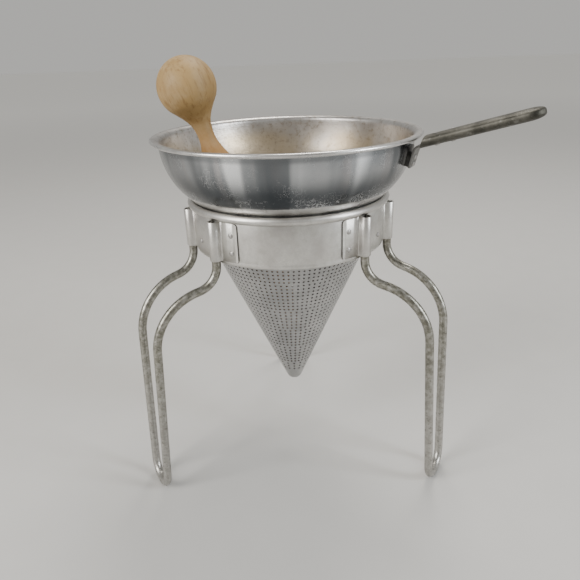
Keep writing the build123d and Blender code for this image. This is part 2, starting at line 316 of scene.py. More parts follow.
def grey(level, warmth=0.0):
    """A grey of a given level, warmer above 0 and cooler below."""
    return (level * (1 + warmth), level, level * (1 - warmth), 1.0)


def polished_outside():
    """Polished spun sheet with hair scratches and pale scuffs low down. Its dark base, light patches, light
    and dark bands and dark band low on the wall are painted reflection of the room, and the dark strip just
    under the lip is painted shade.
    """
    f = Finish("polished_sheet", metallic=1.0)
    turn = f.around()
    stretched = f.vector(turn * 0.09, f.z, 0.0)
    clouds = f.noise(f.place, 26.0, 4.0, 0.6)
    # Painted reflection: light patches round the wall
    broad = f.noise(f.vector(turn * 1.1, f.z * 3.0, 0.7), 1.0, 2.0)
    streaks = f.noise(f.vector(turn * 9.0, f.z * 6.0, 0.3), 1.0, 3.0, 0.6)
    # Painted reflection: light and dark bands round the wall
    painted_reflection_bands = f.noise(f.vector(turn * 3.4, f.z * 4.0, 5.1), 1.0, 2.0)
    hairs = f.scratches(f.place, 130.0, 0.007) + f.scratches(f.place, 300.0, 0.008)
    hairs = hairs * f.noise(f.place, 55.0, 2.0).rise(0.45, 0.66)
    low_down = 1.0 - f.z.rise(0.2315, 0.2405)
    tufts = f.scratches(stretched, 420.0, 0.05) * f.noise(stretched, 75.0, 3.0).rise(0.49, 0.60)
    smears = f.noise(stretched, 260.0, 5.0, 0.75).rise(0.56, 0.66)
    smears = smears * f.noise(stretched, 60.0, 2.0).rise(0.52, 0.64)
    scuffs = ((tufts + smears) * low_down * f.z.rise(0.2265, 0.229)).clamp()
    fine = f.noise(f.vector(turn * 6.0, f.z * 1800.0, 0.0), 1.0, 2.0)
    # Painted reflection: a dark band low on the wall
    painted_low_reflection = f.z.rise(0.2285, 0.2325) * (1.0 - f.z.rise(0.238, 0.257))
    # Painted shade: a dark strip just under the lip
    line = f.z.rise(0.2605, 0.2635)
    # Painted reflection: the dark base stands in for the dark room reflected in the polish
    base = f.mix(clouds.rise(0.35, 0.7), grey(0.25, -0.05), grey(0.36, -0.02))
    base = f.mix(streaks.rise(0.45, 0.75) * 0.3, base, (0.38, 0.31, 0.29, 1.0))
    base = f.mix(broad.rise(0.45, 0.66) * 0.6, base, grey(0.72, -0.03))
    base = f.mix(painted_reflection_bands.rise(0.5, 0.62) * 0.75, base, grey(0.10, -0.10))
    base = f.mix((1.0 - painted_reflection_bands.rise(0.34, 0.45)) * 0.7, base, grey(0.92, -0.02))
    base = f.mix(painted_low_reflection * 0.86, base, grey(0.05, -0.12))
    base = f.mix(line * 0.6, base, grey(0.14, -0.06))
    base = f.mix((hairs * 0.4).clamp(), base, grey(0.75))
    base = f.mix(scuffs * 0.75, base, grey(0.66, -0.01))
    rough = 0.13 + clouds * 0.12 + hairs * 0.2 + scuffs * 0.4 + fine * 0.05
    dents = f.bump(f.noise(f.place, 22.0, 1.0), 0.35, 0.0012)
    lines = f.bump(fine, 0.12, 0.0002, dents)
    return f.show(base_color=base, roughness=rough.clamp(), normal=f.bump(hairs, 0.1, 0.0002, lines))


def satin_sheet(name, level, warmth, rough, grime_and_painted_shade=0.35):
    """Satin sheet with fine grain, cloudy wear and small grey pits."""
    f = Finish(name, metallic=1.0)
    clouds = f.noise(f.place, 45.0, 5.0, 0.65)
    grain = f.noise(f.place, 900.0, 3.0, 0.7)
    hairs = f.scratches(f.place, 120.0, 0.012) * f.noise(f.place, 60.0, 2.0).rise(0.45, 0.65)
    pits = 1.0 - f.speckle(f.place, 240.0).rise(0.05, 0.16)
    pits = pits * f.noise(f.place, 90.0, 2.0).rise(0.5, 0.7)
    mottle = f.noise(f.place, 190.0, 4.0, 0.7)
    pale = (level * 1.1, level * 1.09, level * (1.08 - warmth), 1.0)
    base = f.mix(clouds.rise(0.3, 0.7), grey(level * 0.80, warmth), pale)
    dull = (level * 0.7, level * 0.69, level * (0.66 - warmth), 1.0)
    base = f.mix(mottle.rise(0.45, 0.7) * 0.35, base, dull)
    base = f.mix(grain.rise(0.4, 0.8) * 0.3, base, grey(level * 0.65, warmth))
    base = f.mix(hairs * 0.3, base, grey(min(1.0, level * 1.25)))
    base = f.mix(pits * grime_and_painted_shade, base, grey(0.12, 0.05))
    roughness = rough + clouds * 0.14 - hairs * 0.08
    normal = f.bump(grain, 0.18, 0.00025, f.bump(clouds, 0.2, 0.0006))
    return f.show(base_color=base, roughness=roughness.clamp(), normal=normal)


def bowl_inside():
    """Inside of the bowl: satin, with a mottled tan tone low down and faint rings."""
    f = Finish("bowl_inside", metallic=1.0)
    clouds = f.noise(f.place, 30.0, 5.0, 0.65)
    tan_mottle = f.noise(f.place, 14.0, 3.0, 0.6)
    rings = f.noise(f.vector(f.around() * 1.5, f.z * 900.0, 0.0), 1.0, 3.0)
    pits = 1.0 - f.speckle(f.place, 150.0).rise(0.04, 0.1)
    pits = pits * f.noise(f.place, 60.0, 2.0).rise(0.52, 0.66)
    # A mottled tan tone over the lower part of the inside
    tan_zone = tan_mottle.rise(0.34, 0.62) * (1.0 - f.z.rise(0.250, 0.266))
    fine = f.noise(f.place, 260.0, 4.0, 0.75)
    base = f.mix(clouds.rise(0.3, 0.75), grey(0.38, 0.04), grey(0.56, 0.03))
    base = f.mix(tan_zone * 0.8, base, (0.42, 0.325, 0.20, 1.0))
    base = f.mix(fine.rise(0.48, 0.68) * 0.55, base, (0.22, 0.175, 0.12, 1.0))
    base = f.mix(pits * 0.7, base, (0.16, 0.11, 0.07, 1.0))
    normal = f.bump(rings, 0.12, 0.0003, f.bump(clouds, 0.3, 0.0008, f.bump(fine, 0.25, 0.0005)))
    return f.show(base_color=base, roughness=(0.22 + clouds * 0.16 + fine * 0.08).clamp(), normal=normal)


def wire_metal():
    """Drawn wire, dull and mottled, brighter towards the feet."""
    f = Finish("leg_wire", metallic=1.0)
    mottle = f.noise(f.place, 260.0, 5.0, 0.7)
    cloud = f.noise(f.place, 30.0, 3.0)
    dark = f.noise(f.place, 420.0, 3.0, 0.7).rise(0.52, 0.72)
    bright = 1.0 - f.z.rise(0.02, 0.15)
    base = f.mix(mottle.rise(0.35, 0.7), (0.185, 0.178, 0.145, 1.0), (0.42, 0.41, 0.37, 1.0))
    base = f.mix(bright * 0.45, base, grey(0.60, 0.03))
    base = f.mix(dark * 0.6, base, (0.065, 0.06, 0.045, 1.0))
    rough = 0.22 + mottle * 0.20 + cloud * 0.06
    normal = f.bump(mottle, 0.25, 0.0003)
    return f.show(base_color=base, roughness=rough.clamp(), normal=normal)


def handle_metal():
    """Cast metal, darkened by heat and handling, with brighter worn patches."""
    f = Finish("handle_metal", metallic=1.0)
    cloud = f.noise(f.place, 70.0, 5.0, 0.65)
    grain = f.noise(f.place, 520.0, 4.0, 0.7)
    worn = f.noise(f.place, 160.0, 4.0, 0.7)
    base = f.mix(cloud.rise(0.3, 0.7), (0.050, 0.048, 0.040, 1.0), (0.125, 0.120, 0.103, 1.0))
    base = f.mix(worn.rise(0.56, 0.7) * 0.5, base, (0.24, 0.235, 0.215, 1.0))
    base = f.mix(grain.rise(0.58, 0.8) * 0.5, base, grey(0.34, 0.02))
    rough = 0.42 + cloud * 0.2 - worn.rise(0.56, 0.7) * 0.1
    normal = f.bump(grain, 0.35, 0.0004, f.bump(cloud, 0.3, 0.0008))
    return f.show(base_color=base, roughness=rough.clamp(), normal=normal)


def painted_shade_finish():
    """Painted shade: a nearly black, rough finish that stands in for shadow in the gaps round the brackets,
    on the sieve's hole walls and under the strap.
    """
    f = Finish("painted_shade_finish")
    shade_mottle = f.noise(f.place, 600.0, 4.0, 0.7)
    base = f.mix(shade_mottle.rise(0.35, 0.75), (0.012, 0.012, 0.010, 1.0), (0.06, 0.058, 0.05, 1.0))
    return f.show(base_color=base, roughness=(0.45 + shade_mottle * 0.3).clamp(), normal=f.bump(shade_mottle, 0.4, 0.0004))


def rivet_metal():
    """Dull grey rivets."""
    f = Finish("rivets", metallic=1.0)
    cloud = f.noise(f.place, 260.0, 4.0, 0.6)
    base = f.mix(cloud, grey(0.30, 0.04), grey(0.52, 0.03))
    return f.show(base_color=base, roughness=(0.3 + cloud * 0.2).clamp(), normal=f.bump(cloud, 0.3, 0.0003))


def pestle_wood():
    """Turned hardwood with fine grain along the pestle, dark flecks and a warmer tone low down."""
    f = Finish("pestle_wood")
    f.shader.inputs["Specular IOR Level"].default_value = 0.35
    lean = PESTLE_LEAN
    along = f.z * cos(lean) - f.x * sin(lean)
    across = f.x * cos(lean) + f.z * sin(lean)
    stretched = f.vector(across, f.y, along * 0.12)
    swirl = f.noise(stretched, 22.0, 3.0, 0.5, 0.8)
    fibres = f.noise(stretched, 380.0, 4.0, 0.65)
    mottle = f.noise(f.place, 55.0, 4.0, 0.6)
    flecks = 1.0 - f.speckle(f.vector(across, f.y, along * 0.35), 190.0).rise(0.06, 0.16)
    flecks = flecks * f.noise(f.place, 80.0, 2.0).rise(0.5, 0.68)
    knot = f.node("ShaderNodeVectorMath", {"operation": "DISTANCE"}, [f.place, KNOT_PLACE], output=1)
    base = f.mix(swirl.rise(0.3, 0.7), (0.275, 0.170, 0.062, 1.0), (0.37, 0.242, 0.100, 1.0))
    base = f.mix(mottle.rise(0.45, 0.66) * 0.6, base, (0.41, 0.29, 0.15, 1.0))
    base = f.mix(fibres.rise(0.48, 0.7) * 0.6, base, (0.20, 0.11, 0.038, 1.0))
    base = f.mix((1.0 - f.z.rise(0.243, 0.285)) * 0.7, base, (0.37, 0.175, 0.05, 1.0))
    base = f.mix((flecks * 0.6).clamp(), base, (0.16, 0.09, 0.04, 1.0))
    base = f.mix((1.0 - knot.rise(0.0006, 0.0042)) * 0.7, base, (0.20, 0.12, 0.04, 1.0))
    normal = f.bump(fibres, 0.2, 0.0003, f.bump(mottle, 0.2, 0.0008))
    return f.show(base_color=base, roughness=(0.5 + mottle * 0.16).clamp(), normal=normal)


def point_at(angle, reach, height, aside=0.0):
    """A point in the upright plane at an angle from +x, or set aside from that plane."""
    across = reach * cos(angle) - aside * sin(angle)
    along = reach * sin(angle) + aside * cos(angle)
    return Vector((across, along, height))


def rounded_path(corners, bends, step=0.6):
    """Points along straight runs joined by tangent arcs."""
    path = [corners[0]]
    for before, corner, after, bend in zip(corners, corners[1:], corners[2:], bends):
        backward = (before - corner).normalized()
        onward = (after - corner).normalized()
        half_angle = acos(max(-1.0, min(1.0, backward.dot(onward)))) / 2
        centre = corner + (backward + onward).normalized() * bend / sin(half_angle)
        start = corner + backward * bend / tan(half_angle) - centre
        end = corner + onward * bend / tan(half_angle) - centre
        turn = pi - 2 * half_angle
        steps = max(3, ceil(turn * bend / step))
        for index in range(steps + 1):
            share = index / steps
            path.append(centre + (start * sin((1 - share) * turn) + end * sin(share * turn)) / sin(turn))
    path.append(corners[-1])
    return path


def flat(*pairs):
    """Profile corners as vectors: reach, then height."""
    return [Vector((reach, height, 0.0)) for reach, height in pairs]


def arc(centre, radius, start, end, steps):
    """Points on an arc of a profile, angles in degrees."""
    angles = [radians(start + (end - start) * index / steps) for index in range(steps + 1)]
    return [Vector((centre[0] + radius * cos(a), centre[1] + radius * sin(a), 0.0)) for a in angles]


def curve_point(first, pull, last, share):
    """The point at a share of a quadratic curve."""
    return first * (1 - share) ** 2 + pull * 2 * share * (1 - share) + last * share**2


def directions(path):
    """The unit direction of a path at each of its points."""
    neighbours = zip(path[:1] + path[:-1], path[1:] + path[-1:])
    return [(after - before).normalized() for before, after in neighbours]


def offset_path(path, distance):
    """A profile moved sideways, to its left for a distance above 0."""
    runs = directions(path)
    return [point + Vector((-run.y, run.x, 0.0)) * distance for point, run in zip(path, runs)]


def corner_trim(corner, from_end):
    """How far a rounded corner cuts in, by the distance from the plate's end."""
    if from_end < corner:
        return corner - sqrt(corner**2 - (corner - from_end) ** 2)
    return 0.0


class Shape:
    """Points and faces of a mesh under construction, in millimetres."""

    def __init__(self):
        self.points = []
        self.faces = []
        self.finish = []

    def add(self, points, faces, finish=0):
        start = len(self.points)
        self.points += points
        self.faces += [[start + index for index in face] for face in faces]
        self.finish += [finish] * len(faces) if isinstance(finish, int) else finish

    def lathe(self, outline, sides, finish=0, closed=True):
        """Turns an outline round the z axis. An outline may start and end on the axis."""
        points = []
        rings = []
        for corner in outline:
            if corner.x < 1e-6:
                rings.append([len(points)] * sides)
                points.append(Vector((0.0, 0.0, corner.y)))
            else:
                rings.append([len(points) + side for side in range(sides)])
                points += [point_at(2 * pi * side / sides, corner.x, corner.y) for side in range(sides)]
        faces = []
        finishes = []
        spans = len(rings) if closed else len(rings) - 1
        for span in range(spans):
            lower, upper = rings[span], rings[(span + 1) % len(rings)]
            for side in range(sides):
                after = (side + 1) % sides
                face = [lower[side], lower[after], upper[after], upper[side]]
                face = list(dict.fromkeys(face))
                if len(face) > 2:
                    faces.append(face)
                    finishes.append(finish if isinstance(finish, int) else finish[span])
        self.add(points, faces, finishes)

    def rows(self, rows):
        """Joins rows of points, each row a loop round the shape, and closes both ends."""
        count = len(rows[0])
        last = (len(rows) - 1) * count
        faces = []
        for lower in range(0, last, count):
            upper = lower + count
            for index in range(count):
                after = (index + 1) % count
                faces.append([lower + index, lower + after, upper + after, upper + index])
        faces.append(list(range(count))[::-1])
        faces.append([last + index for index in range(count)])
        self.add([point for row in rows for point in row], faces)

    def mesh(self, name, finishes, sharp):
        """The finished mesh in metres, turned outwards, smooth but for its sharp edges."""
        mesh = bpy.data.meshes.new(name)
        mesh.from_pydata([point * MM for point in self.points], [], self.faces)
        for finish in finishes:
            mesh.materials.append(finish)
        mesh.polygons.foreach_set("material_index", self.finish)
        mesh.polygons.foreach_set("use_smooth", [True] * len(self.faces))
        mesh.update()
        work = bmesh.new()
        work.from_mesh(mesh)
        bmesh.ops.recalc_face_normals(work, faces=work.faces)
        work.to_mesh(mesh)
        work.free()
        mesh.set_sharp_from_angle(angle=radians(sharp))
        return mesh


def show(shape, name, finishes, body, slot, *nodes, sharp):
    """Makes a piece, lets it ride on a body and stand for its nodes."""
    piece = bpy.data.objects.new(name, shape.mesh(name, finishes, sharp))
    bpy.context.scene.collection.objects.link(piece)
    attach(piece, body)
    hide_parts(*nodes)


def tube(path, radius, sides):
    """Rows of points round a path."""
    rows = []
    runs = directions(path)
    side = runs[0].orthogonal().normalized()
    angles = [2 * pi * step / sides for step in range(sides)]
    for point, run in zip(path, runs):
        side = (side - run * side.dot(run)).normalized()
        up = run.cross(side)
        rows.append([point + (side * cos(a) + up * sin(a)) * radius for a in angles])
    return rows


def make_bowl(outside, inside, lip):
    """Bowl: floor ring, rounded wall and flat lip with a rolled edge."""
    corners = flat((BOWL_HOLE_RADIUS, FLOOR_MIDDLE), (FLOOR_RADIUS, FLOOR_MIDDLE), WALL_FOOT)
    floor = rounded_path(corners, [FLOOR_BEND])
    wall = [curve_point(*flat(WALL_FOOT, WALL_BULGE, WALL_TOP), step / 40) for step in range(41)]
    lip_middle = LIP_TOP - BOWL_SHEET / 2
    corners = flat(WALL_TOP, (WALL_TOP[0] + LIP_FLARE, lip_middle), (LIP_RADIUS - LIP_ROLL, lip_middle))
    turn_out = rounded_path(corners, [LIP_FLARE_BEND])
    middle = floor[:-1] + wall[:-1] + turn_out[1:]
    upper = offset_path(middle, BOWL_SHEET / 2)
    lower = offset_path(middle, -BOWL_SHEET / 2)
    roll = arc((LIP_RADIUS - LIP_ROLL, LIP_TOP - LIP_ROLL), LIP_ROLL, 80, -180, 22)
    lower = [point for point in lower if point.x < roll[-1].x]
    outline = upper + roll + lower[::-1]
    finishes = []
    # 0 is the polished outside, 1 the inside, 2 the lip and the foot
    for index, point in enumerate(outline):
        if index < len(upper) - 1 and point.x < LIP_RADIUS - 2 * LIP_ROLL:
            finishes.append(1)
        elif index >= len(upper) + len(roll) and SATIN_FOOT_TOP < point.y < lip_middle - LIP_BEND:
            finishes.append(0)
        else:
            finishes.append(2)
    shape = Shape()
    shape.lathe(outline, SHEET_SIDES, finishes)
    show(shape, "bowl_spun", [outside, inside, lip], "strainer", "bowl_sheet", "bowl", sharp=50)


def cone_point(index, height, depth):
    """A point on the sieve cone: ring index, height, and depth outwards from the sheet's middle."""
    reach = NOSE_RADIUS + (height - NOSE_HEIGHT) * CONE_SLOPE + depth * cos(CONE_LEAN)
    return point_at(2 * pi * index / RING_POINTS, reach, height - depth * sin(CONE_LEAN))


def make_sieve(satin, worn_inside, grime_and_painted_shade):
    """Sieve cone: flared flange, collar, rows of round holes and a blunt nose."""
    shape = Shape()
    half = SIEVE_SHEET / 2
    front = RING_POINTS * 3 // 4
    perforated_top = TOP_ROW_HEIGHT + ROW_PITCH / 2
    row_count = sum(rows for rows, columns, phase in ROWS_COLUMNS_PHASE)
    perforated_bottom = perforated_top - row_count * ROW_PITCH
    foot_slope = atan2(WALL_FOOT[1] - FLOOR_MIDDLE, WALL_FOOT[0] - FLOOR_RADIUS)
    spacing = BOWL_SHEET / 2 + RIVETED_GAP + SIEVE_SHEET / 2
    flange = FLOOR_MIDDLE + spacing
    edge = (WALL_FOOT[0] - spacing * sin(foot_slope), WALL_FOOT[1] + spacing * cos(foot_slope))
    collar = rounded_path(
        flat(
            edge,
            (FLOOR_RADIUS - spacing * tan(foot_slope / 2), flange),
            (COLLAR_MIDDLE, flange),
            (COLLAR_MIDDLE, CONE_TOP),
            (NOSE_RADIUS + (perforated_top - NOSE_HEIGHT) * CONE_SLOPE, perforated_top),
        ),
        [FLARE_BEND, COLLAR_BEND, CONE_BEND],
        step=0.7,
    )
    nose = rounded_path(
        flat(
            (NOSE_RADIUS + (perforated_bottom - NOSE_HEIGHT) * CONE_SLOPE, perforated_bottom),
            (NOSE_RADIUS, NOSE_HEIGHT),
            (0.0, NOSE_HEIGHT),
        ),
        [NOSE_BEND],
        step=1.3,
    )
    for path, end, height in ((collar, -1, perforated_top), (nose, 0, perforated_bottom)):
        outer, inner = offset_path(path, half), offset_path(path, -half)
        for side, depth in ((outer, half), (inner, -half)):
            tip = cone_point(0, height, depth)
            side[end] = Vector((tip.x, tip.z, 0.0))
        if path is collar:
            shape.lathe(inner[::-1] + outer, RING_POINTS, closed=False)
        else:
            for side in (outer, inner):
                side[-1].x = 0.0
                shape.lathe(side, RING_POINTS, closed=False)
    height = TOP_ROW_HEIGHT
    for rows, columns, phase in ROWS_COLUMNS_PHASE:
        step = RING_POINTS // columns
        first = front + round((phase - 0.5) * step)
        sparse = next(stride for stride in range(SPARSE_STRIDE, 0, -1) if step % stride == 0)
        for row in range(rows):
            above = 1 if row == 0 else sparse
            below = 1 if row == rows - 1 else sparse
            for column in range(columns):
                add_hole(shape, first + column * step, step, above, below, height)
            height -= ROW_PITCH
    weld(shape)
    finishes = [satin, worn_inside, grime_and_painted_shade]
    show(shape, "sieve_perforated", finishes, "strainer", "cone_sheet", "sieve_cone", sharp=28)


def add_hole(shape, start, step, above, below, height):
    """One cell of the sieve: sheet on both sides, a dimpled edge outside and the hole's wall."""
    middle = start + step / 2
    reach = cone_point(0, height, 0.0).x
    half = SIEVE_SHEET / 2
    edge = [(start + index, 0.5) for index in range(0, step + 1, above)]
    edge += [(start + step - index, -0.5) for index in range(0, step + 1, below)]
    angles = [2 * pi * side / HOLE_SIDES for side in range(HOLE_SIDES)]

    def ring(radius, depth):
        points = []
        for angle in angles:
            index = middle + radius * cos(angle) / reach * RING_POINTS / (2 * pi)
            points.append(cone_point(index, height + radius * sin(angle) * cos(CONE_LEAN), depth))
        return points

    def border(depth):
        return [cone_point(index, height + share * ROW_PITCH, depth) for index, share in edge]

    outer_edge = border(half)
    inner_edge = border(-half)
    rings = [ring(DIMPLE_RADIUS, half), ring(HOLE_RADIUS, half - DIMPLE_DEPTH), ring(HOLE_RADIUS, -half)]
    points = outer_edge + inner_edge + [point for loop in rings for point in loop]
    count = len(outer_edge)
    starts = [2 * count, 2 * count + HOLE_SIDES, 2 * count + 2 * HOLE_SIDES]
    edge_angles = []
    for index, share in edge:
        across = (index - middle) * 2 * pi * reach / RING_POINTS
        up = share * ROW_PITCH / cos(CONE_LEAN)
        edge_angles.append(atan2(up, across) % (2 * pi))
    faces = zip_loops(edge_angles, 0, starts[0], angles)
    faces += [face[::-1] for face in zip_loops(edge_angles, count, starts[2], angles)]
    for lower, upper in ((starts[0], starts[1]), (starts[1], starts[2])):
        for side in range(HOLE_SIDES):
            after = (side + 1) % HOLE_SIDES
            faces.append([lower + side, upper + side, upper + after, lower + after])
    flat_faces = len(faces) - 2 * HOLE_SIDES
    outside = flat_faces // 2
    # 0 is the satin outside with its dimple, 1 the worn inside, 2 painted shade on the hole's wall
    finishes = [0] * outside + [1] * (flat_faces - outside) + [0] * HOLE_SIDES + [2] * HOLE_SIDES
    shape.add(points, faces, finishes)


def zip_loops(edge_angles, edge_start, ring_start, ring_angles):
    """Triangles between a cell's border and its hole, matched by angle round the hole."""
    count = len(edge_angles)
    sides = len(ring_angles)
    order = sorted(range(count), key=lambda index: edge_angles[index])
    events = [(edge_angles[index], 0, index) for index in order]
    half_side = pi / sides
    events += [((ring_angles[side] + half_side) % (2 * pi), 1, side) for side in range(sides)]
    edge_now = order[-1]
    ring_now = 0
    faces = []
    for _, kind, index in sorted(events):
        if kind == 0:
            faces.append([edge_start + edge_now, ring_start + ring_now, edge_start + index])
            edge_now = index
        else:
            after = (index + 1) % sides
            faces.append([edge_start + edge_now, ring_start + index, ring_start + after])
            ring_now = after
    return faces


def weld(shape):
    """Joins points that lie together."""
    found = {}
    index_of = []
    points = []
    for point in shape.points:
        key = (round(point.x, 3), round(point.y, 3), round(point.z, 3))
        if key not in found:
            found[key] = len(points)
            points.append(point)
        index_of.append(found[key])
    faces = []
    finishes = []
    for face, finish in zip(shape.faces, shape.finish):
        face = list(dict.fromkeys(index_of[index] for index in face))
        if len(face) > 2:
            faces.append(face)
            finishes.append(finish)
    shape.points, shape.faces, shape.finish = points, faces, finishes


def make_band(satin):
    """Ring band: folded hem, flat wall and a bead rolled from the same sheet."""
    outer = BAND_RADIUS
    inner = BAND_RADIUS - BAND_SHEET
    centre = (BAND_RADIUS + BEAD_STAND_OFF, BEAD_HEIGHT)
    hem_top = BAND_BOTTOM + HEM_HEIGHT
    bead_in = centre[0] - BEAD_RADIUS
    curl = arc(centre, BEAD_RADIUS, 180, -145, 40)
    hollow = arc(centre, BEAD_RADIUS - BAND_SHEET, -140, 175, 32)
    outline = flat(
        (inner, BEAD_HEIGHT - BEAD_RADIUS * 1.3),
        (bead_in + 0.25, BEAD_HEIGHT - BEAD_RADIUS * 0.5),
    )
    outline += curl + hollow
    outline += flat(
        (outer, BEAD_HEIGHT - BEAD_RADIUS * 1.15),
        (outer, hem_top + HEM_SOFTNESS),
        (outer - HEM_SWELL, hem_top + HEM_SOFTNESS / 2),
        (outer + HEM_SWELL, hem_top - HEM_SOFTNESS / 2),
        (outer + HEM_SWELL, BAND_BOTTOM + HEM_SOFTNESS),
    )
    outline += arc((outer - BAND_SHEET, BAND_BOTTOM + BAND_SHEET), BAND_SHEET + HEM_SWELL, -20, -160, 10)
    fold = outer - 2 * BAND_SHEET
    outline += flat((fold, BAND_BOTTOM + HEM_SOFTNESS), (fold, hem_top), (inner, hem_top + 0.1))
    shape = Shape()
    shape.lathe(outline, SHEET_SIDES)
    show(shape, "band_rolled", [satin], "stand", "band_sheet", "ring_band", sharp=40)


def make_bracket(side, angle, satin, grime_and_painted_shade):
    """Bracket plate: two tabs and a middle on the band, and a sleeve round each prong."""
    middle_radius = BAND_RADIUS + RIVETED_GAP + BRACKET_SHEET / 2
    sleeve_centre = BAND_RADIUS + WIRE_CLEARANCE + WIRE_RADIUS
    wrap = WIRE_RADIUS + WIRE_CLEARANCE + BRACKET_SHEET / 2
    prong_angle = asin(PRONG_SPREAD / sleeve_centre)
    centres = [point_at(-prong_angle, sleeve_centre, 0), point_at(prong_angle, sleeve_centre, 0)]
    foot_angle = asin((wrap + SLEEVE_FOOT) / middle_radius)
    flare = foot_angle * SLEEVE_FLARE

    def along(start, end):
        return [point_at(start + (end - start) * step / 10, middle_radius, 0) for step in range(11)]

    path = along(-BRACKET_HALF_ANGLE, -prong_angle - flare)
    for centre, turn in zip(centres, (-prong_angle, prong_angle)):
        out = Vector((cos(turn), sin(turn), 0))
        aside = Vector((-sin(turn), cos(turn), 0))
        root = point_at(turn - foot_angle, middle_radius, 0)
        left = centre - aside * wrap
        before = point_at(turn - flare, middle_radius, 0)
        path += rounded_path([before, root, left], [SLEEVE_BEND], 0.3)[1:-1]
        for step in range(17):
            swing = pi * step / 16
            path.append(centre - aside * wrap * cos(swing) + out * wrap * sin(swing))
        right_root = point_at(turn + foot_angle, middle_radius, 0)
        after = point_at(turn + flare, middle_radius, 0)
        path += rounded_path([centre + aside * wrap, right_root, after], [SLEEVE_BEND], 0.3)[1:]
        path += along(turn + flare, prong_angle - flare if turn < 0 else BRACKET_HALF_ANGLE)[1:]
    path = add_tab_ends(path)
    outside = offset_path(path, -BRACKET_SHEET / 2)
    inside = offset_path(path, BRACKET_SHEET / 2)
    travelled = [0.0]
    for before, after in zip(path, path[1:]):
        travelled.append(travelled[-1] + (after - before).length)
    rows = []
    spin = Matrix.Rotation(angle, 3, "Z")
    for near, far, distance in zip(inside, outside, travelled):
        trim = corner_trim(TAB_CORNER, min(distance, travelled[-1] - distance))
        low, high = BRACKET_BOTTOM + trim, BRACKET_TOP - trim
        edge = BRACKET_EDGE_SHARE
        ease = BRACKET_SHEET * edge
        lower_half = [(0.0, low + ease), (edge, low), (1.0 - edge, low), (1.0, low + ease)]
        upper_half = [(1.0, high - ease), (1.0 - edge, high), (edge, high), (0.0, high - ease)]
        loop = []
        for share, height in lower_half + upper_half:
            spot = near.lerp(far, share)
            loop.append(spin @ Vector((spot.x, spot.y, height)))
        rows.append(loop)
    shape = Shape()
    shape.rows(rows)
    # Painted shade: the edge strips along the band and the plate's two end faces take the near-black finish,
    # standing in for the shadow in the gap round the plate
    for row in range(len(rows) - 1):
        middle = (path[row] + path[row + 1]) / 2
        if middle.length < middle_radius + 0.1 and abs(atan2(middle.y, middle.x)) > prong_angle:
            for strip in EDGE_STRIPS:
                shape.finish[row * 8 + strip] = 1
    shape.finish[-2:] = [1, 1]
    name = f"bracket_plate_{side}"
    show(shape, name, [satin, grime_and_painted_shade], "stand", "bracket_sheet", f"bracket_{side}", sharp=45)


def add_tab_ends(path):
    """The path with close steps at both ends, where the tab's corners are rounded."""
    shares = [0.0, 0.02, 0.08, 0.18, 0.32, 0.5, 0.72, 1.0]

    def close_steps(start, end):
        run = (end - start).normalized() * TAB_CORNER
        return [start + run * share for share in shares]

    def is_inner(point):
        return min((point - path[0]).length, (point - path[-1]).length) > TAB_CORNER * 1.2

    head = close_steps(path[0], path[1])
    tail = close_steps(path[-1], path[-2])[::-1]
    return head + list(filter(is_inner, path)) + tail


def add_rivet(shape, seat, grip):
    """A rivet with a low domed head on a seat plane and its tail on the far side of the grip."""
    dome = ((0.0, 1.0), (0.45, 0.96), (0.8, 0.75), (1.0, 0.35), (1.0, 0.0))
    outline = flat(*[(RIVET_HEAD * reach, RIVET_HEAD_HEIGHT * height) for reach, height in dome])
    outline += flat((RIVET_SHANK, 0.0), (RIVET_SHANK, -grip))
    tail = ((1.0, 0.0), (1.0, 0.6), (0.7, 1.0), (0.0, 1.0))
    outline += flat(*[(RIVET_TAIL * reach, -grip - RIVET_TAIL_HEIGHT * depth) for reach, depth in tail])
    piece = Shape()
    piece.lathe(outline, RIVET_SIDES, closed=False)
    shape.add([seat @ point for point in piece.points], piece.faces)


def seat_matrix(place, out, across):
    """The frame of a seat plane: x across, z outwards."""
    out = out.normalized()
    across = across.normalized()
    up = out.cross(across)
    frame_matrix = Matrix((across, up, out)).transposed().to_4x4()
    frame_matrix.translation = place
    return frame_matrix


def make_bracket_rivets(side, angle, metal):
    """The five rivets of a bracket."""
    shape = Shape()
    outer = BAND_RADIUS + RIVETED_GAP + BRACKET_SHEET
    places = [(turn * TAB_RIVET_ANGLE, share) for turn in (-1, 1) for share in TAB_RIVET_SHARES]
    places.append((0.0, MIDDLE_RIVET_SHARE))
    for turn, share in places:
        height = BRACKET_BOTTOM + share * (BRACKET_TOP - BRACKET_BOTTOM)
        place = point_at(angle + turn, outer, height)
        out = point_at(angle + turn, 1.0, 0.0)
        across = point_at(angle + turn + pi / 2, 1.0, 0.0)
        add_rivet(shape, seat_matrix(place, out, across), outer - BAND_RADIUS + BAND_SHEET + RIVETED_GAP)
    show(shape, f"rivets_{side}", [metal], "stand", "rivets", f"bracket_rivets_{side}", sharp=60)


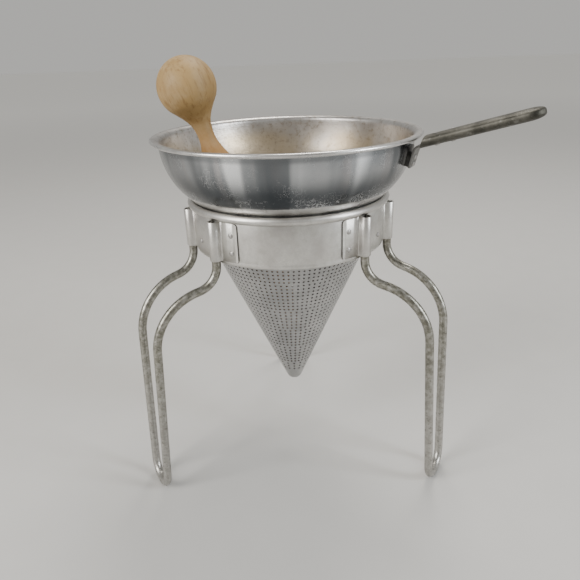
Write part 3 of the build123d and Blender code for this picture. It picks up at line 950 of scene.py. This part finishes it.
def make_leg(side, angle, metal):
    """A hairpin leg of one wire, with a small worn flat under its foot."""
    prong_reach = sqrt((BAND_RADIUS + WIRE_CLEARANCE + WIRE_RADIUS) ** 2 - PRONG_SPREAD**2)
    foot_height = WIRE_RADIUS - FOOT_WEAR
    prong = [
        (prong_reach, PRONG_SPREAD, WIRE_TOP),
        (prong_reach, PRONG_SPREAD, SHOULDER_HEIGHT),
        KNEE,
        (FOOT[0], FOOT[1], foot_height),
    ]
    down = [point_at(angle, reach, height, spread) for reach, spread, height in prong]
    back = [point_at(angle, reach, height, -spread) for reach, spread, height in reversed(prong)]
    path = rounded_path(down + back, LEG_BENDS + LEG_BENDS[::-1], step=1.2)
    rows = tube(path, WIRE_RADIUS, WIRE_SIDES)
    rims = []
    for end in (0, -1):
        rims.append([path[end].lerp(p, 1 - WIRE_END_ROUND / WIRE_RADIUS) for p in rows[end]])
        rows[end] = [p - Vector((0, 0, WIRE_END_ROUND)) for p in rows[end]]
    rows = [rims[0]] + rows + [rims[1]]
    rows = [[Vector((p.x, p.y, max(p.z, 0.0))) for p in row] for row in rows]
    shape = Shape()
    shape.rows(rows)
    show(shape, f"wire_{side}", [metal], f"leg_{side}", "leg_wire", f"leg_{side}", sharp=50)


def handle_frame():
    """The handle's own frame: x along it, z up from its broad face."""
    run = point_at(HANDLE_ANGLE, cos(HANDLE_RISE), sin(HANDLE_RISE))
    up = point_at(HANDLE_ANGLE, -sin(HANDLE_RISE), cos(HANDLE_RISE))
    across = up.cross(run)
    matrix = Matrix((run, across, up)).transposed().to_4x4()
    matrix.translation = point_at(HANDLE_ANGLE, HANDLE_REACH, HANDLE_HEIGHT)
    return matrix


def make_handle(metal):
    """Handle: a rounded bar with a slanted inner end and a round outer end."""
    place = handle_frame()
    end_middle = HANDLE_LENGTH - HANDLE_WIDTH / 2
    power = 2 / HANDLE_SQUARENESS
    stations = [share * end_middle / 12 for share in range(13)]
    stations += [end_middle + HANDLE_WIDTH / 2 * sin(radians(turn)) for turn in range(8, 89, 8)]
    rows = []
    for station in stations:
        share = min(station / end_middle, 1.0)
        half_width = (HANDLE_NECK_WIDTH + (HANDLE_WIDTH - HANDLE_NECK_WIDTH) * share) / 2
        half_depth = HANDLE_DEPTH / 2
        if station > end_middle:
            past = (station - end_middle) / (HANDLE_WIDTH / 2)
            half_width *= sqrt(1 - past**2)
            half_depth *= (1 - past**2) ** HANDLE_TIP_FULLNESS
        row = []
        for side in range(HANDLE_SIDES):
            turn = 2 * pi * side / HANDLE_SIDES
            across = half_width * copysign(abs(cos(turn)) ** power, cos(turn))
            up = half_depth * copysign(abs(sin(turn)) ** power, sin(turn))
            slant = up * tan(HANDLE_END_SLANT) * max(0.0, 1 - station / HANDLE_SLANT_REACH)
            row.append(place @ Vector((station + slant, across, up)))
        rows.append(row)
    shape = Shape()
    shape.rows(rows)
    show(shape, "handle_bar", [metal], "strainer", "handle_metal", "handle", sharp=40)


def wall_at(share):
    """The wall's middle line at a share of it: its place and its unit direction."""
    foot, bulge, top = flat(WALL_FOOT, WALL_BULGE, WALL_TOP)
    run = (bulge - foot) * (1 - share) + (top - bulge) * share
    return curve_point(foot, bulge, top, share), run.normalized()


def share_at_height(height):
    """The share of the wall at a height."""
    low, high = 0.0, 1.0
    for _ in range(30):
        middle = (low + high) / 2
        if wall_at(middle)[0].y < height:
            low = middle
        else:
            high = middle
    return (low + high) / 2


def wall_point(aside, height, stand_off):
    """A point over the bowl's wall under the handle, by distance round it, height and stand-off."""
    place, run = wall_at(share_at_height(height))
    reach = place.x + run.y * stand_off
    return point_at(HANDLE_ANGLE + aside / place.x, reach, place.y - run.x * stand_off)


def add_wall_plate(shape, low, height, width, corner, stand_off, depth):
    """A plate with rounded corners, bent to the wall under the handle."""
    rows = []
    for level in range(13):
        rise = (1 - cos(pi * level / 12)) / 2 * height
        half = width / 2 - corner_trim(corner, min(rise, height - rise))
        asides = [half * (-1 + step / 6) for step in range(13)]
        outer = [wall_point(aside, low + rise, stand_off + depth) for aside in asides]
        inner = [wall_point(aside, low + rise, stand_off) for aside in asides]
        rows.append(outer + inner[::-1])
    shape.rows(rows)


def strap_seat(share, stand_off):
    """The seat on the strap's foot at a share of it: its place and its outward direction."""
    start = wall_at(STRAP_FOOT_SHARES[0])[0]
    end = wall_at(STRAP_FOOT_SHARES[1])[0]
    run = (end - start).normalized()
    place = start.lerp(end, share)
    out = point_at(HANDLE_ANGLE, run.y, -run.x)
    return point_at(HANDLE_ANGLE, place.x, place.y) + out * stand_off, out


def make_handle_bracket(metal, grime_and_painted_shade):
    """Handle bracket: a pad on the wall, a spacer in painted shade, and a strap that bends up into the
    handle.
    """
    skin = BOWL_SHEET / 2 + RIVETED_GAP
    shape = Shape()
    add_wall_plate(shape, PAD_BOTTOM, PAD_HEIGHT, PAD_WIDTH, PAD_CORNER, skin, STRAP_SHEET)
    plain = len(shape.faces)
    spacer_skin = skin + STRAP_SHEET
    add_wall_plate(shape, PAD_BOTTOM, SPACER_HEIGHT, SPACER_WIDTH, PAD_CORNER, spacer_skin, SPACER_DEPTH)
    # Painted shade: the spacer takes the near-black finish, standing in for the shadow under the strap
    shape.finish[plain:] = [1] * (len(shape.faces) - plain)
    place = handle_frame()
    middle = spacer_skin + SPACER_DEPTH + STRAP_SHEET / 2
    root = place @ Vector((-TANG_ROOT, 0.0, -TANG_DROP))
    end = place @ Vector((TANG_LENGTH, 0.0, -TANG_DROP))
    path = [strap_seat(0.0, middle)[0], strap_seat(1.0, middle)[0], root, end]
    path = rounded_path(path, [STRAP_BEND, TANG_BEND], 0.4)
    across = point_at(HANDLE_ANGLE + pi / 2, 1.0, 0.0)
    half_sheet = STRAP_SHEET / 2
    edge = STRAP_SHEET * STRAP_EDGE_SHARE
    rows = []
    for point, run in zip(path, directions(path)):
        out = run.cross(across)
        half_width = TANG_WIDTH / 2 - (0.0 if rows else STRAP_END_TAPER)
        corners = ((half_width, half_sheet - edge), (half_width - edge, half_sheet))
        loop = [(x, y) for x, y in corners] + [(-x, y) for x, y in corners[::-1]]
        loop += [(-x, -y) for x, y in corners] + [(x, -y) for x, y in corners[::-1]]
        rows.append([point + across * x + out * y for x, y in loop])
    shape.rows(rows)
    show(shape, "bracket_strap", [metal, grime_and_painted_shade], "strainer", "handle_metal", "handle_bracket", sharp=40)


def make_handle_rivets(metal):
    """Rivets of the strap's foot, and of the handle with the strap's end in it."""
    across = point_at(HANDLE_ANGLE + pi / 2, 1.0, 0.0)
    foot = Shape()
    top = BOWL_SHEET / 2 + RIVETED_GAP + SPACER_DEPTH + 2 * STRAP_SHEET
    for share in STRAP_RIVET_SHARES:
        seat, out = strap_seat(share, top)
        add_rivet(foot, seat_matrix(seat, out, across), top + BOWL_SHEET / 2 + RIVETED_GAP)
    show(foot, "rivets_pad", [metal], "strainer", "rivets", "pad_rivets", sharp=60)
    place = handle_frame()
    down = place.to_3x3() @ Vector((0, 0, -1))
    tang = Shape()
    for along in TANG_RIVETS:
        seat = place @ Vector((along, 0.0, -HANDLE_DEPTH / 2))
        add_rivet(tang, seat_matrix(seat, down, across), HANDLE_DEPTH)
    show(tang, "rivets_tang", [metal], "strainer", "rivets", "tang_rivets", sharp=60)


def smooth_curve(points, steps):
    """A smooth curve through the points of a profile."""
    curve = []
    padded = [points[0] * 2 - points[1]] + points + [points[-1] * 2 - points[-2]]
    for a, b, c, d in zip(padded, padded[1:], padded[2:], padded[3:]):
        for step in range(steps):
            t = step / steps
            bent = (2 * a - 5 * b + 4 * c - d) * t**2 + (3 * b - a - 3 * c + d) * t**3
            curve.append(b + ((c - a) * t + bent) / 2)
    curve.append(points[-1])
    return curve


def make_pestle(wood):
    """Pestle: ball tip, long taper, waisted shank and round knob, leaning in the cone."""
    taper = CONE_LEAN - PESTLE_LEAN
    tip = arc((0.0, 0.0), TIP_RADIUS, -90, -degrees(taper), 16)
    tip[0].x = 0.0
    belly = tip[-1] + Vector((sin(taper), cos(taper), 0)) * TAPER_LENGTH
    run = [tip[-1].lerp(belly, step / 12) for step in range(1, 12)]
    knob_edge = (sqrt(KNOB_RADIUS**2 - KNOB_JOIN**2), KNOB_HEIGHT - KNOB_JOIN)
    shank = smooth_curve([belly] + flat(*SHANK_LOW, *SHANK_HIGH) + flat(knob_edge), 8)
    knob = arc((0.0, KNOB_HEIGHT), KNOB_RADIUS, -degrees(asin(KNOB_JOIN / KNOB_RADIUS)), 90, 28)[1:]
    knob[-1].x = 0.0
    shape = Shape()
    shape.lathe(tip + run + shank + knob, WOOD_SIDES, closed=False)
    lean = Matrix.Rotation(-PESTLE_LEAN, 3, "Y")
    shape.points = [lean @ point + Vector((0, 0, TIP_HEIGHT)) for point in shape.points]
    show(shape, "pestle_turned", [wood], "pestle", "pestle_wood", "pestle", sharp=60)


def make_camera():
    """The photograph's camera, from its fitted place, pitch, yaw and roll."""
    right = Vector((cos(CAMERA_YAW), -sin(CAMERA_YAW), 0))
    level_ahead = Vector((sin(CAMERA_YAW), cos(CAMERA_YAW), 0))
    ahead = level_ahead * cos(CAMERA_PITCH) - Vector((0, 0, sin(CAMERA_PITCH)))
    up = right.cross(ahead)
    turned_right = right * cos(CAMERA_ROLL) - up * sin(CAMERA_ROLL)
    turned_up = right * sin(CAMERA_ROLL) + up * cos(CAMERA_ROLL)
    data = bpy.data.cameras.new("photo_camera")
    data.sensor_width = SENSOR_WIDTH
    data.lens = SENSOR_WIDTH * FOCAL_PIXELS / IMAGE_SIDE
    camera = bpy.data.objects.new("photo_camera", data)
    matrix = Matrix((turned_right, turned_up, -ahead)).transposed().to_4x4()
    matrix.translation = Vector(CAMERA_PLACE) * MM
    camera.matrix_world = matrix
    bpy.context.scene.collection.objects.link(camera)
    bpy.context.scene.camera = camera


def make_light(name, place, target, width, height, power, colour):
    """A soft rectangular light that faces a point."""
    data = bpy.data.lights.new(name, "AREA")
    data.shape = "RECTANGLE"
    data.size = width
    data.size_y = height
    data.energy = power
    data.color = colour
    light = bpy.data.objects.new(name, data)
    light.location = place
    light.rotation_euler = (Vector(target) - Vector(place)).to_track_quat("-Z", "Y").to_euler()
    bpy.context.scene.collection.objects.link(light)


def make_studio():
    """A plain pale floor with painted light that makes it paler far off, soft lights and a pale surround."""
    f = Finish("floor", roughness=0.6)
    speck = f.noise(f.place, 30.0, 4.0)
    # Painted light: the floor grows paler far off, standing in for light the lamps don't cast there
    painted_light_far_off = (f.x * f.x + f.y * f.y).power(0.5).rise(0.4, 4.0)
    floor_colour = f.mix(speck, (0.50, 0.49, 0.47, 1.0), (0.53, 0.52, 0.50, 1.0))
    floor_colour = f.mix(painted_light_far_off, floor_colour, (0.97, 0.96, 0.93, 1.0))
    mesh = bpy.data.meshes.new("floor")
    corners = [(x * FLOOR_REACH, y * FLOOR_REACH, 0) for x, y in ((-1, -1), (1, -1), (1, 1), (-1, 1))]
    mesh.from_pydata(corners, [], [(0, 1, 2, 3)])
    mesh.materials.append(f.show(base_color=floor_colour))
    floor = bpy.data.objects.new("floor", mesh)
    bpy.context.scene.collection.objects.link(floor)
    world = bpy.data.worlds.new("surround")
    world.use_nodes = True
    background = world.node_tree.nodes["Background"]
    background.inputs["Color"].default_value = (0.80, 0.79, 0.76, 1.0)
    background.inputs["Strength"].default_value = 0.62
    bpy.context.scene.world = world
    make_light("window", (-1.1, -0.75, 0.9), (0, 0, 0.2), 0.7, 1.1, 24.0, (1.0, 0.985, 0.96))
    make_light("fill", (1.2, -0.55, 0.75), (0, 0, 0.22), 0.35, 0.9, 15.0, (0.92, 0.96, 1.0))
    make_light("top", (0.2, 0.55, 1.4), (0, 0, 0.2), 0.5, 0.5, 12.0, (1.0, 0.96, 0.9))


make_camera()
make_studio()
band_metal = satin_sheet("band_metal", 0.60, 0.045, 0.30)
bracket_metal = satin_sheet("bracket_metal", 0.64, 0.045, 0.32)
lip_metal = satin_sheet("lip_metal", 0.66, 0.02, 0.22)
sieve_metal = satin_sheet("sieve_metal", 0.46, 0.0, 0.33, 0.2)
rivets = rivet_metal()
# Painted shade finish, for the gaps round the brackets, the sieve's hole walls and the spacer under the
# strap
painted_shade = painted_shade_finish()
dark_metal = handle_metal()
strap_metal = satin_sheet("strap_metal", 0.20, 0.03, 0.36)
make_bowl(polished_outside(), bowl_inside(), lip_metal)
make_sieve(sieve_metal, satin_sheet("sieve_inside", 0.26, 0.05, 0.5), painted_shade)
make_band(band_metal)
wire = wire_metal()
for side, angle in LEG_ANGLES.items():
    make_bracket(side, angle, bracket_metal, painted_shade)
    make_bracket_rivets(side, angle, rivets)
    make_leg(side, angle, wire)
make_handle(dark_metal)
make_handle_bracket(strap_metal, painted_shade)
make_handle_rivets(rivets)
make_pestle(pestle_wood())
